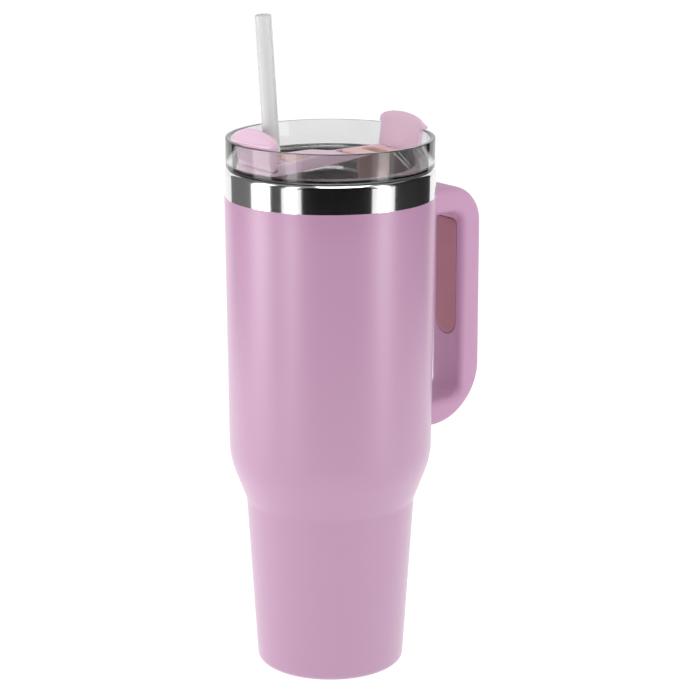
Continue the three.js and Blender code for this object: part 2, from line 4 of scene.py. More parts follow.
import bmesh
import bpy
import numpy as np
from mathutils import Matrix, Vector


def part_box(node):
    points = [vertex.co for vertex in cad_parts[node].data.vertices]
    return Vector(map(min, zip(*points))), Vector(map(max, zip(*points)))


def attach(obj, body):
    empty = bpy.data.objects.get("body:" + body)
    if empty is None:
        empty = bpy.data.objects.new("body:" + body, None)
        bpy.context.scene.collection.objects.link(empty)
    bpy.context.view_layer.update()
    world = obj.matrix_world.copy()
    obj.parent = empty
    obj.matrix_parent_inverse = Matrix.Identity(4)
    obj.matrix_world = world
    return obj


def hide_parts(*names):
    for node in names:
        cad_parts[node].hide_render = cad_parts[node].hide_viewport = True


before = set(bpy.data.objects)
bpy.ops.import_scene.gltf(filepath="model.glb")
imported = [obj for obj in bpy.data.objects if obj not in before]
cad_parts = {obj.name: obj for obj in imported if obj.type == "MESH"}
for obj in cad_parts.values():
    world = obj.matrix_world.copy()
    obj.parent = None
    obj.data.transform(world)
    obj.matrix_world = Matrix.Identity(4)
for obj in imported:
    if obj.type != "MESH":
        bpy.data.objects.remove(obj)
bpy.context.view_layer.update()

# ---- Camera, floor and light ----
# A long lens a little above the lid, with the handle pointing to the right and away, over bright
# white paper. Tall soft boxes stand on both sides and one lamp hangs above. Dark cards between
# them keep the polished steel's reflections crisp.

MM = 0.001
TURN = radians(37)  # from the line of sight to the handle
EYE_BACK = 1114.2 * MM
EYE_HIGH = 449.6 * MM
PITCH = 0.2597  # radians below the horizon
SENSOR = 36  # the camera's own millimetres
LENS = 126
SHIFT = 0.0281429  # of the frame's width


def placed(right, away, up):
    """A point given by how far it is to the right, away from the camera and up, in metres."""
    return (right * cos(TURN) + away * sin(TURN), away * cos(TURN) - right * sin(TURN), up)


camera = bpy.data.objects.new("camera", bpy.data.cameras.new("camera"))
bpy.context.scene.collection.objects.link(camera)
camera.location = placed(0, -EYE_BACK, EYE_HIGH)
camera.rotation_euler = (pi / 2 - PITCH, 0, -TURN)
camera.data.sensor_width = SENSOR
camera.data.lens = LENS
camera.data.shift_x = SHIFT
camera.data.clip_start = 0.02
bpy.context.scene.camera = camera
bpy.context.scene.view_settings.view_transform = "Standard"


def soft_box(name, azimuth, spread, back, low, high, radiance):
    """A tall rectangular lamp facing the tumbler, at an azimuth from the camera's side."""
    width = 2 * back * tan(radians(spread / 2))
    lamp = bpy.data.lights.new(name, "AREA")
    lamp.shape = "RECTANGLE"
    lamp.size = width
    lamp.size_y = high - low
    lamp.energy = radiance * pi * width * (high - low)
    shown = bpy.data.objects.new(name, lamp)
    angle = radians(azimuth)
    shown.location = placed(back * sin(angle), -back * cos(angle), (low + high) / 2)
    shown.rotation_euler = (pi / 2, 0, angle - TURN)
    bpy.context.scene.collection.objects.link(shown)
    return shown


LAMP_BACK = 0.66
LAMP_TOP = 0.8
soft_box("left_box", -78, 22, LAMP_BACK, 0.0, LAMP_TOP, 2.2)
soft_box("left_front_box", -41.5, 12, LAMP_BACK, 0.0, LAMP_TOP, 2.4)
soft_box("right_front_box", 58, 13, LAMP_BACK, 0.0, LAMP_TOP, 2.9)
# The fills light the edges of the body, and the steel doesn't mirror them.
for fill in (soft_box("left_fill", -108, 38, LAMP_BACK, 0.0, 0.45, 2.4),
             soft_box("right_fill", 106, 36, LAMP_BACK, 0.1, 0.7, 1.35)):
    fill.visible_glossy = False
TOP_SIZE = 0.8
top_lamp = bpy.data.lights.new("top_box", "AREA")
top_lamp.size = TOP_SIZE
top_lamp.energy = 2.6 * pi * TOP_SIZE ** 2
top_box = bpy.data.objects.new("top_box", top_lamp)
top_box.location = placed(0.2, -0.45, 1.2)
top_box.rotation_euler = (radians(25), 0, -TURN)
bpy.context.scene.collection.objects.link(top_box)


def panel(name, corners, shade, glow):
    """A flat matt panel through four corners, with a colour and a glow of its own."""
    mesh = bpy.data.meshes.new(name)
    mesh.from_pydata(corners, [], [(0, 1, 2, 3)])
    made = bpy.data.objects.new(name, mesh)
    bpy.context.scene.collection.objects.link(made)
    paint = bpy.data.materials.new(name)
    paint.use_nodes = True
    shader = paint.node_tree.nodes["Principled BSDF"]
    shader.inputs["Base Color"].default_value = (shade, shade, shade, 1)
    shader.inputs["Roughness"].default_value = 1.0
    shader.inputs["Specular IOR Level"].default_value = 0.0
    shader.inputs["Emission Color"].default_value = (1, 1, 1, 1)
    shader.inputs["Emission Strength"].default_value = glow
    mesh.materials.append(paint)
    return made


def card(name, start, end, glow):
    """A card that only reflections see, between two azimuths from the camera's side."""
    corners = []
    for azimuth, z in ((start, CARD_FOOT), (end, CARD_FOOT), (end, LAMP_TOP), (start, LAMP_TOP)):
        angle = radians(azimuth)
        corners.append(placed(LAMP_BACK * sin(angle), -LAMP_BACK * cos(angle), z))
    made = panel(name, corners, 0.0, glow)
    made.visible_camera = False
    made.visible_diffuse = False
    made.visible_transmission = False
    made.visible_shadow = False


FLOOR_REACH = 6
panel("floor", [
    (-FLOOR_REACH, -FLOOR_REACH, 0), (FLOOR_REACH, -FLOOR_REACH, 0),
    (FLOOR_REACH, FLOOR_REACH, 0), (-FLOOR_REACH, FLOOR_REACH, 0)], 0.25, 0.97)
WALL_BACK = 3.3
WALL_REACH = 3.6
backdrop = panel("backdrop", [
    placed(-WALL_REACH, WALL_BACK, 0), placed(WALL_REACH, WALL_BACK, 0),
    placed(WALL_REACH, WALL_BACK, WALL_REACH), placed(-WALL_REACH, WALL_BACK, WALL_REACH)], 0.0, 1.0)
backdrop.visible_diffuse = False
CARD_FOOT = 0.002
card("front_card_left", -30, 8, 0.0)
card("front_card_right", 8, 44, 0.0)
card("left_gap_card", -65, -52, 0.05)
card("left_back_card", -132, -92, 0.16)
card("right_card", 71, 104, 0.02)
card("right_back_card", 104, 134, 0.015)

world = bpy.data.worlds.new("studio")
bpy.context.scene.world = world
world.use_nodes = True
world.node_tree.nodes["Background"].inputs["Color"].default_value = (0.30, 0.30, 0.305, 1)

# ---- Outer shell ----
# Deep-drawn stainless steel with a waist for a cup holder, turned in under the foot.
# A satin powder coat covers it up to a thin edge below the rim, where it is bare and polished.

SHARP = radians(40)


def arc(x, z, radius, start, end, steps):
    """Points on a circle round (x, z) from one angle to another, in degrees."""
    angle = np.radians(np.linspace(start, end, steps + 1))
    return np.stack([x + radius * np.cos(angle), z + radius * np.sin(angle)], 1)


def bend(a, b, c, steps):
    """Points on the quadratic curve that starts at a, heads for b and ends at c."""
    t = np.linspace(0, 1, steps + 1)[:, None]
    return (1 - t) ** 2 * np.array(a) + 2 * t * (1 - t) * np.array(b) + t ** 2 * np.array(c)


def joined(*stretches):
    """Stretches of an outline in a row, with repeated points left out."""
    points = np.concatenate([np.atleast_2d(np.array(s, float)) for s in stretches])
    step = np.linalg.norm(np.diff(points, axis=0), axis=1)
    return points[np.concatenate([[True], step > 1e-6])]


def moved_left(points, distance):
    """An open outline moved to its left: each corner moves along the mitre of its two sides."""
    along = np.diff(points, axis=0)
    along /= np.linalg.norm(along, axis=1)[:, None]
    normal = np.stack([-along[:, 1], along[:, 0]], 1)
    before = np.concatenate([normal[:1], normal])
    after = np.concatenate([normal, normal[-1:]])
    mitre = (before + after) / (1 + np.sum(before * after, axis=1))[:, None]
    return points + distance * mitre


def grid_faces(rows, columns, wrap_rows, wrap_columns):
    """Four-sided faces between neighbours of a grid of points, counted row by row."""
    r, c = np.meshgrid(np.arange(rows - (not wrap_rows)), np.arange(columns - (not wrap_columns)),
                       indexing="ij")
    r, c = r.ravel(), c.ravel()
    down, right = (r + 1) % rows, (c + 1) % columns
    return np.stack([r * columns + c, r * columns + right, down * columns + right, down * columns + c], 1)


def turned(outline, around):
    """Turns an outline of (radius, height) round the Z axis: x = r cos a, y = r sin a."""
    angle = np.linspace(0, 2 * pi, around, endpoint=False)
    radius, height = outline[:, :1], outline[:, 1:]
    points = np.stack([radius * np.cos(angle), radius * np.sin(angle), height + 0 * angle], 2)
    return points.reshape(-1, 3), grid_faces(len(outline), around, False, True)


def build(name, parts):
    """One mesh of several (points in millimetres, faces) pairs, merged, closed and facing out."""
    start, points, faces = 0, [], []
    for part_points, part_faces in parts:
        points.append(np.asarray(part_points) * MM)
        faces += [[int(corner) + start for corner in face] for face in part_faces]
        start += len(part_points)
    mesh = bpy.data.meshes.new(name)
    mesh.from_pydata(np.concatenate(points), [], faces)
    work = bmesh.new()
    work.from_mesh(mesh)
    bmesh.ops.remove_doubles(work, verts=work.verts, dist=2e-6)
    bmesh.ops.dissolve_degenerate(work, edges=work.edges, dist=1e-7)
    bmesh.ops.recalc_face_normals(work, faces=work.faces)
    work.to_mesh(mesh)
    work.free()
    shown = bpy.data.objects.new(name, mesh)
    bpy.context.scene.collection.objects.link(shown)
    return shown


def fitted(piece, material, body, slot, *nodes):
    """Finishes a piece: smooth shading with sharp corners, its material and body; its slot is not used."""
    piece.data.shade_smooth()
    piece.data.set_sharp_from_angle(angle=SHARP)
    piece.data.materials.clear()
    piece.data.materials.append(material)
    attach(piece, body)
    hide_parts(*nodes)
    return piece


class Wire:
    """An output of a material's node tree. Arithmetic on it adds Math nodes."""

    def __init__(self, tree, socket):
        self.tree = tree
        self.socket = socket

    def node(self, kind, settings, inputs, output=0):
        """Adds a node: its settings first, then the values or wires of its sockets."""
        made = self.tree.nodes.new(kind)
        for name, value in settings.items():
            setattr(made, name, value)
        for name, value in inputs.items():
            if isinstance(value, Wire):
                self.tree.links.new(value.socket, made.inputs[name])
            else:
                made.inputs[name].default_value = value
        return Wire(self.tree, made.outputs[output])

    def math(self, operation, first, second=0.0, clamp=False):
        settings = {"operation": operation, "use_clamp": clamp}
        return self.node("ShaderNodeMath", settings, {0: first, 1: second})

    def __add__(self, other):
        return self.math("ADD", self, other)

    def __radd__(self, other):
        return self.math("ADD", other, self)

    def __sub__(self, other):
        return self.math("SUBTRACT", self, other)

    def __rsub__(self, other):
        return self.math("SUBTRACT", other, self)

    def __mul__(self, other):
        return self.math("MULTIPLY", self, other)

    def __rmul__(self, other):
        return self.math("MULTIPLY", other, self)

    def step(self, edge, soft):
        """0 below an edge and 1 above it, over a short ramp."""
        return self.math("ADD", (self - edge) * (1 / soft), 0.5, clamp=True)

    def mix(self, dark, light):
        """A colour between two colours, with this wire as the share of the second."""
        return self.node("ShaderNodeMix", {"data_type": "RGBA"}, {0: self, 6: dark, 7: light}, 2)

    def noise(self, scale, detail=2.0):
        """Cloudy noise on this wire's coordinates."""
        return self.node("ShaderNodeTexNoise", {}, {"Vector": self, "Scale": scale, "Detail": detail})

    def axis(self, name):
        """The X, Y or Z of this wire's coordinates."""
        return self.node("ShaderNodeSeparateXYZ", {}, {0: self}, name)

    def stretched(self, scale):
        """This wire's coordinates scaled along each axis."""
        return self.node("ShaderNodeMapping", {}, {"Vector": self, "Scale": scale})

    def relief(self, strength, depth):
        """A bump whose height is this wire, up to a depth in metres."""
        return self.node("ShaderNodeBump", {}, {"Height": self, "Strength": strength, "Distance": depth})


def material(name, varying=None, **constants):
    """A Principled material. varying takes object coordinates and gives the sockets that vary."""
    made = bpy.data.materials.new(name)
    made.use_nodes = True
    shader = made.node_tree.nodes["Principled BSDF"]
    for key, value in constants.items():
        shader.inputs[key.replace("_", " ")].default_value = value
    place = made.node_tree.nodes.new("ShaderNodeTexCoord")
    where = Wire(made.node_tree, place.outputs["Object"])
    for key, wire in (varying(where) if varying else {}).items():
        made.node_tree.links.new(wire.socket, shader.inputs[key])
    return made


def grey(level):
    """A neutral colour."""
    return (level, level, level, 1)


shell_low, shell_high = (np.array(c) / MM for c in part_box("outer_shell"))
body_r = shell_high[1]
rim_z = shell_high[2]
foot_z = shell_low[2]
COAT_Z = 228.25
COAT_T = 0.12
WALL = 0.8
BASE_R = 35
EDGE_R = 3
WAIST = (39.85, 82)
SHOULDER = (47.7, 102.5)
SHOULDER_ROUND = 7
FOOT_LIP = 4
RIM_ROUND = 2.4
RIM_IN = 3.1  # the rim's inner edge, from the shell's side
WAIST_SOFT = 1.2  # how far the waist's bend reaches each way
AROUND = 160


def shell_side(coat):
    """The shell's outside from under the foot to the rim: arcs at the foot and rim, a cone below
    the waist, a rounded shoulder, and the edge of a coat of some thickness as a small step."""
    waist, shoulder = np.array(WAIST), np.array(SHOULDER)
    slope = (shoulder - waist) / np.linalg.norm(shoulder - waist)
    above = np.array([body_r, COAT_Z]) - shoulder
    side = above / np.linalg.norm(above)
    steps = np.linspace(0, 1, 9)[:, None]
    lower = np.array([BASE_R, foot_z + EDGE_R])
    upper = shoulder + side * SHOULDER_ROUND
    edge = np.array([body_r, COAT_Z - coat])
    below = waist - [0.06, WAIST_SOFT]
    return joined(
        [(BASE_R - FOOT_LIP, foot_z)],
        arc(BASE_R - EDGE_R, foot_z + EDGE_R, EDGE_R, -90, 0, 10),
        lower + (below - lower) * steps,
        bend(below, waist, waist + slope * WAIST_SOFT, 5),
        bend(shoulder - slope * SHOULDER_ROUND, shoulder, upper, 14),
        upper + (edge - upper) * steps,
        arc(body_r - coat, COAT_Z - coat, coat, 0, 90, 3),
        arc(body_r - coat - RIM_ROUND, rim_z - RIM_ROUND, RIM_ROUND, 0, 90, 10),
        [(body_r - RIM_IN, rim_z)])


PINK = (0.468, 0.242, 0.397, 1)
PINK_DEEP = (0.456, 0.234, 0.385, 1)
STEEL = (0.80, 0.80, 0.80, 1)


def coat_and_rim(where):
    """Powder coat up to its edge and polished steel above it: the coat has a fine orange peel
    and a grain, and the steel has faint rings from the polishing wheel."""
    bare = where.axis("Z").step(COAT_Z * MM, 0.05 * MM)
    patch = where.noise(30, 3)
    grain = where.noise(2600, 2)
    peel = where.noise(620, 1)
    rings = where.stretched((8, 8, 2400)).noise(4, 2)
    coat = patch.mix(PINK_DEEP, PINK)
    height = (1 - bare) * (grain * 0.55 + peel * 0.45) + bare * rings * 0.02
    return {"Base Color": bare.mix(coat, STEEL), "Metallic": bare, "Roughness": 0.34 - bare * 0.25,
            "Normal": height.relief(0.55, 0.04 * MM)}


coated_steel = material("powder_coat_and_polished_rim", coat_and_rim, Specular_IOR_Level=1.0,
                        Coat_Weight=0.6, Coat_Roughness=0.34)
inside = moved_left(shell_side(0), WALL)
shell_loop = np.concatenate([shell_side(COAT_T), inside[::-1], shell_side(COAT_T)[:1]])
fitted(build("outer_shell_body", [turned(shell_loop, AROUND)]),
       coated_steel, "tumbler", "coat", "outer_shell")

# ---- Inner liner ----
# A second stainless wall, 2.6 mm inside the first with a vacuum between, with a round floor.
# It is electropolished inside, and shows through the clear lid.

VACUUM = 2.6
LINER_FLOOR = 9.6
LINER_CORNER = 9
LINER_WAIST = (0.55, 1.5)  # how far the bend at the waist reaches, across and along the axis
LINER_SHOULDER = (2.5, 6.4)  # the same for the bend below the shoulder
liner_r = body_r - WALL - VACUUM - WALL


def liner_side():
    """The liner's vacuum side: a flat floor, a round corner, then the shell's side moved in."""
    taper = (WAIST[0] - BASE_R) / (WAIST[1] - foot_z - EDGE_R)
    gap = WALL + VACUUM
    corner = BASE_R - gap + taper * (LINER_FLOOR + LINER_CORNER - foot_z - EDGE_R)
    waist, shoulder = np.array(WAIST), np.array(SHOULDER)
    steps = np.linspace(0, 1, 9)[:, None]
    top = np.array([liner_r + WALL, COAT_Z])
    upper = shoulder + [-gap, SHOULDER_ROUND + 1]
    return joined(
        [(0, LINER_FLOOR)],
        arc(corner - LINER_CORNER, LINER_FLOOR + LINER_CORNER, LINER_CORNER, -90, 0, 12),
        [waist - [gap, LINER_WAIST[1]]],
        bend(waist - [gap, LINER_WAIST[1]], waist - [gap, 0],
             waist + [LINER_WAIST[0] - gap, LINER_WAIST[1]], 4),
        bend(shoulder - [gap + LINER_SHOULDER[0], LINER_SHOULDER[1]], shoulder - [gap, 0], upper, 12),
        upper + (top - upper) * steps,
        [(liner_r + WALL, rim_z)])


def polished(where):
    """Faint rings left by the polishing, and a slow change in roughness."""
    rings = where.stretched((6, 6, 900)).noise(5, 2)
    return {"Roughness": where.noise(25, 2) * 0.08 + 0.08, "Normal": rings.relief(0.2, 0.01 * MM)}


polished_steel = material("polished_steel", polished, Base_Color=grey(0.66), Metallic=1.0)
liner_outside = liner_side()
liner_inside = moved_left(liner_outside, WALL)
liner_inside[0, 0] = 0
liner_inside[-1, 1] = rim_z
liner_loop = np.concatenate([liner_outside, liner_inside[::-1]])
fitted(build("inner_liner_wall", [turned(liner_loop, AROUND)]),
       polished_steel, "tumbler", "steel", "inner_liner")

# ---- Hidden base parts ----
# The welded base plate, its port's seal bead and the getter sit in the vacuum space.
# They keep their plain shapes, and have the dull finish of pickled stainless steel.


def pickled(where):
    """Cloudy, matt metal."""
    cloud = where.noise(160, 3)
    return {"Base Color": cloud.mix(grey(0.36), grey(0.46)), "Roughness": cloud * 0.2 + 0.32}


dull_steel = material("pickled_steel", pickled, Metallic=1.0)


def keep(material_used, *nodes):
    """Gives nodes of the frame a finished material and leaves their shapes alone."""
    for name in nodes:
        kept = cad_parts[name]
        kept.data.materials.clear()
        kept.data.materials.append(material_used)


keep(dull_steel, "base_plate", "getter", "seal_bead", "handle_bracket_upper", "handle_bracket_lower")

# ---- Base pad ----
# A silicone disc snapped behind the turned-in foot, with moulded rings that grip the table.

pad_high = np.array(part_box("base_pad")[1]) / MM
PAD_R = 30.7
PAD_EDGE = 0.5
PAD_NECK = 1.7
PAD_SOFT = 0.3
RINGS = 3
RING_DEPTH = 0.25


def pad_outline():
    """A disc with a flange, whose underside has shallow rounded grooves between flat lands."""
    flange = pad_high[0]
    r = np.linspace(0, PAD_R - PAD_EDGE, 90)
    share = r / (PAD_R - PAD_EDGE) * RINGS % 1
    groove = RING_DEPTH * np.clip(1 - np.abs(share - 0.62) / 0.1, 0, 1) ** 0.5
    return joined(
        np.stack([r, groove], 1),
        arc(PAD_R - PAD_EDGE, PAD_EDGE, PAD_EDGE, -90, 0, 5),
        [(PAD_R, PAD_NECK)],
        arc(flange - PAD_SOFT, PAD_NECK + PAD_SOFT, PAD_SOFT, -90, 0, 3),
        arc(flange - PAD_SOFT, pad_high[2] - PAD_SOFT, PAD_SOFT, 0, 90, 3),
        [(0, pad_high[2])])


def matt_silicone(where):
    """Silicone straight from a blasted mould."""
    return {"Normal": where.noise(1500, 2).relief(0.25, 0.03 * MM)}


pad_silicone = material("dark_silicone", matt_silicone, Base_Color=(0.055, 0.045, 0.05, 1), Roughness=0.62)
fitted(build("base_pad_disc", [turned(pad_outline(), AROUND)]),
       pad_silicone, "tumbler", "base_silicone", "base_pad")

# ---- Handle ----
# A C-shaped moulding in the colour of the coat, screwed from below to two blocks on the shell.
# It has a flat oval section, a tight upper corner and a wider lower one.

handle_low, handle_high = (np.array(c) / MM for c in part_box("handle_frame"))
HANDLE_T = 12.7
EDGE_ROUND = 3.8
TOP_CORNER = 18.5
BOTTOM_CORNER = 28
INNER_CORNER = 5.5
ROOT = 4  # how far the arms' ends start inside the shell, before they are pushed out
GAP = 0.3
handle_x, handle_top, handle_bottom = handle_high[0], handle_high[2], handle_low[2]
handle_w = handle_high[1] - handle_low[1]
grip_x = handle_x - HANDLE_T


def shell_radius(z):
    """The shell's outside radius at a height above the shoulder."""
    return np.interp(z, [WAIST[1], SHOULDER[1], COAT_Z], [WAIST[0], SHOULDER[0], body_r])


def handle_rails(steps):
    """The C's outer and inner outlines in XZ, with matching points, from its lower end up."""
    start = body_r - ROOT
    out = joined(
        np.linspace((start, handle_bottom), (handle_x - BOTTOM_CORNER, handle_bottom), steps),
        arc(handle_x - BOTTOM_CORNER, handle_bottom + BOTTOM_CORNER, BOTTOM_CORNER, -90, 0, 2 * steps),
        arc(handle_x - TOP_CORNER, handle_top - TOP_CORNER, TOP_CORNER, 0, 90, 2 * steps),
        np.linspace((handle_x - TOP_CORNER, handle_top), (start, handle_top), steps)[1:])
    low, high = handle_bottom + HANDLE_T, handle_top - HANDLE_T
    reach = grip_x - INNER_CORNER
    inner = joined(
        np.linspace((start, low), (reach, low), steps),
        arc(reach, low + INNER_CORNER, INNER_CORNER, -90, 0, 2 * steps),
        arc(reach, high - INNER_CORNER, INNER_CORNER, 0, 90, 2 * steps),
        np.linspace((reach, high), (start, high), steps)[1:])
    return out, inner


def round_section(depth, width, radius, steps):
    """A rectangle with round corners, as offsets across the depth and the width."""
    corners = []
    for turn, (a, b) in enumerate([(1, 1), (-1, 1), (-1, -1), (1, -1)]):
        centre = (a * (depth / 2 - radius), b * (width / 2 - radius))
        corners.append(arc(*centre, radius, 90 * turn, 90 * turn + 90, steps))
    return np.concatenate(corners)


def capped(points, faces, rows, columns):
    """Closes the first and last row of a wrapped grid, each with a point at its middle."""
    rings = points.reshape(rows, columns, 3)
    middles = np.stack([rings[0].mean(0), rings[-1].mean(0)])
    count = rows * columns
    i = np.arange(columns)
    j = (i + 1) % columns
    last = (rows - 1) * columns
    fans = [(count, a, b) for a, b in zip(i, j)] + [(count + 1, last + b, last + a) for a, b in zip(i, j)]
    return np.concatenate([points, middles]), faces.tolist() + fans


def handle_skin():
    """A rounded section carried along the C: each ring spans its inner and outer point, and the
    ends are pushed out to the shell's surface."""
    out, inner = handle_rails(12)
    ring = round_section(HANDLE_T, handle_w, EDGE_ROUND, 8)
    span = out - inner
    length = np.linalg.norm(span, axis=1)[:, None]
    middle = (out + inner) / 2
    # Round edges keep their radius where the section is deeper than on the straights.
    flat = HANDLE_T / 2 - EDGE_ROUND
    depth = ring[:, 0]
    rounding = np.clip(np.abs(depth) - flat, 0, None) * np.sign(depth)
    flats = np.clip(depth, -flat, flat) / flat
    offset = flats[None] * (length / 2 - EDGE_ROUND) + rounding[None]
    unit = span / length
    x = middle[:, :1] + unit[:, :1] * offset
    z = middle[:, 1:] + unit[:, 1:] * offset
    y = np.broadcast_to(ring[:, 1], x.shape)
    x = np.maximum(x, np.sqrt(shell_radius(z) ** 2 - y ** 2) + GAP)
    points = np.stack([x, y, z], 2)
    rows, columns = x.shape
    return capped(points.reshape(-1, 3), grid_faces(rows, columns, False, True), rows, columns)


INLAY_W = 14.6
INLAY_CORNER = 3
inlay_low, inlay_high = (np.array(c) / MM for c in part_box("grip_inlay"))


def inlay_outline(grow, steps):
    """The inlay's face in YZ: round at the bottom, and nearly square at the top."""
    half = INLAY_W / 2 + grow
    soft = INLAY_CORNER + grow
    low, top = inlay_low[2] + INLAY_W / 2, inlay_high[2] + grow
    return joined(arc(0, low, half, 180, 360, 2 * steps), arc(half - soft, top - soft, soft, 0, 90, steps),
                  arc(soft - half, top - soft, soft, 90, 180, steps))


def pillow(outline, levels):
    """A closed slab from a YZ outline: each level is (x, inset), and both faces are closed with
    a point at the middle."""
    centre = outline.mean(0)
    reach = np.linalg.norm(outline - centre, axis=1)[:, None]
    rows = []
    for x, inset in levels:
        ring = centre + (outline - centre) * (1 - inset / reach)
        rows.append(np.column_stack([np.full(len(ring), x), ring]))
    points = np.concatenate(rows)
    return capped(points, grid_faces(len(levels), len(outline), False, True), len(levels), len(outline))


def pillar(outline, low, high):
    """A closed upright shape from a plan outline between two heights."""
    rows = np.concatenate([np.column_stack([outline, np.full(len(outline), z)]) for z in (low, high)])
    return capped(rows, grid_faces(2, len(outline), False, True), 2, len(outline))


def cut(piece, points, faces, operation="DIFFERENCE"):
    """Cuts a closed shape out of a piece, and keeps the result as the piece's mesh."""
    tool = build("tool", [(points, faces)])
    change = piece.modifiers.new("change", "BOOLEAN")
    change.object = tool
    change.operation = operation
    change.solver = "EXACT"
    shaped = bpy.data.meshes.new_from_object(piece.evaluated_get(bpy.context.evaluated_depsgraph_get()))
    piece.modifiers.clear()
    piece.data = shaped
    bpy.data.objects.remove(tool)


HANDLE_PINK = (0.54, 0.305, 0.465, 1)
HANDLE_PINK_DEEP = (0.525, 0.296, 0.452, 1)


def moulded(where):
    """Plastic from a spark-eroded mould: an even fine texture, and barely visible flow."""
    flow = where.stretched((1, 1, 0.4)).noise(45, 2)
    texture = where.noise(1900, 2)
    return {"Base Color": flow.mix(HANDLE_PINK_DEEP, HANDLE_PINK), "Roughness": texture * 0.12 + 0.40,
            "Normal": texture.relief(0.35, 0.035 * MM)}


handle_plastic = material("moulded_handle_plastic", moulded, Specular_IOR_Level=0.45)
handle = build("handle_grip", [handle_skin()])
INLAY_DEPTH = 1.4
POCKET_OPEN = 2
cut(handle, *pillow(inlay_outline(GAP, 8), [(grip_x - POCKET_OPEN, 0), (grip_x + INLAY_DEPTH, 0)]))
SCREW_X = 55.6
SCREW_HOLE_R = 3.1
SCREW_HOLE_DEPTH = 2
for under in (handle_bottom, handle_top - HANDLE_T):
    hole = pillar(arc(SCREW_X, 0, SCREW_HOLE_R, 0, 352.5, 47), under - 3, under + SCREW_HOLE_DEPTH)
    cut(handle, *hole)
fitted(handle, handle_plastic, "tumbler", "handle_plastic", "handle_frame")

# ---- Grip inlay ----
# A soft-touch strip let into the handle's inner face, where the fingers close round it.


def soft_touch(where):
    """Rubbery plastic with a fine pebbled grain."""
    pebbles = where.node("ShaderNodeTexVoronoi", {}, {"Vector": where, "Scale": 1300.0})
    return {"Base Color": where.noise(90, 2).mix((0.44, 0.20, 0.245, 1), (0.49, 0.225, 0.27, 1)),
            "Normal": pebbles.relief(0.4, 0.05 * MM)}


soft_grip = material("soft_touch_rubber", soft_touch, Roughness=0.66)
face_x, back_x = inlay_low[0], inlay_high[0]
fitted(build("grip_inlay_strip", [pillow(inlay_outline(0, 12), [
    (back_x, 0), (face_x + 0.5, 0), (face_x + 0.15, 0.15), (face_x, 0.5), (face_x, 3)])]),
    soft_grip, "tumbler", "grip", "grip_inlay")

# ---- Handle screws ----
# Stainless pan-head screws, driven up into the blocks from under each arm.

keep(polished_steel, "handle_screw_upper", "handle_screw_lower")

# ---- Lid bowl ----
# Clear Tritan, turned in one piece: a rim wall that stands on the steel, a deep floor with holes
# for the two seal necks, and a plug with a gasket groove that presses into the liner.

bowl_low, bowl_high = (np.array(c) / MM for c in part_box("lid_bowl"))
lid_r, lid_rim_z, plug_bottom = bowl_high[0], bowl_high[2], bowl_low[2]
LID_WALL = 2.3
LID_SEAT_Z = 242.0
LEDGE_Z = 243.0
LEDGE_R = 39.4
LEDGE_T = 2.0
LID_FLOOR_Z = 231.0
LID_FLOOR = 2.2
LID_FILLET = 1.0
PLUG_WALL = 2.8
PLUG_GAP = 0.9
GASKET_IN = 1.3
GROOVE = (3, 7.6)  # above the plug's lower edge
RIM_EDGE = 0.5
SEAT_EDGE = 0.6
NECK_WALL = 1.4
NECK_BOTTOM = 227.6
lid_in_r = lid_r - LID_WALL
plug_r = liner_r - PLUG_GAP
STRAW_R = 3.8
STRAW_BORE_R = 3.0
STRAW_GAP = 0.25
STRAW_LEAN = radians(4.1)
STRAW_X = -32.8
STRAW_Z = 248.0
neck_r = STRAW_R + STRAW_GAP + NECK_WALL


def bowl_outline():
    """The bowl's half section, with its small corners rounded."""
    under, groove = LID_FLOOR_Z - LID_FLOOR, plug_r - GASKET_IN
    inner, low, high = plug_r - PLUG_WALL, plug_bottom + GROOVE[0], plug_bottom + GROOVE[1]
    soft = RIM_EDGE
    return joined(
        [(0, under), (inner, under)], arc(inner + 0.3, plug_bottom + 0.3, 0.3, 180, 270, 3),
        arc(plug_r - 0.8, plug_bottom + 0.8, 0.8, -90, 0, 4),
        [(plug_r, low), (groove, low), (groove, high), (plug_r, high), (plug_r, LID_SEAT_Z)],
        arc(lid_r - SEAT_EDGE, LID_SEAT_Z + SEAT_EDGE, SEAT_EDGE, -90, 0, 4),
        arc(lid_r - soft, lid_rim_z - soft, soft, 0, 90, 5),
        arc(lid_in_r + soft, lid_rim_z - soft, soft, 90, 180, 5),
        arc(lid_in_r - LID_FILLET, LEDGE_Z + LID_FILLET, LID_FILLET, 0, -90, 5),
        arc(LEDGE_R + soft, LEDGE_Z - soft, soft, 90, 180, 4),
        arc(LEDGE_R + soft, LEDGE_Z - LEDGE_T + soft, soft, 180, 270, 4),
        [(inner, LEDGE_Z - LEDGE_T)],
        arc(inner - LID_FILLET, LID_FLOOR_Z + LID_FILLET, LID_FILLET, 0, -90, 5),
        [(0, LID_FLOOR_Z)])


def on_straw_axis(x, y, along):
    """Points given across the straw's axis, and along it from the top of the straw's seal."""
    return np.column_stack([STRAW_X + x * cos(STRAW_LEAN) - along * sin(STRAW_LEAN), y,
                            STRAW_Z + x * sin(STRAW_LEAN) + along * cos(STRAW_LEAN)])


def leaning(radius, low, high, around):
    """A rod along the straw's axis, between two lengths measured from the straw seal's top."""
    angle = np.linspace(0, 2 * pi, around, endpoint=False)
    rows = [on_straw_axis(radius * np.cos(angle), radius * np.sin(angle), along) for along in (low, high)]
    return capped(np.concatenate(rows), grid_faces(2, around, False, True), 2, around)


def slot_outline(x, length, width, steps):
    """A slot across Y with half-round ends, in plan."""
    r = length / 2
    return joined(arc(x, width / 2 - r, r, 0, 180, steps), arc(x, r - width / 2, r, 180, 360, steps))


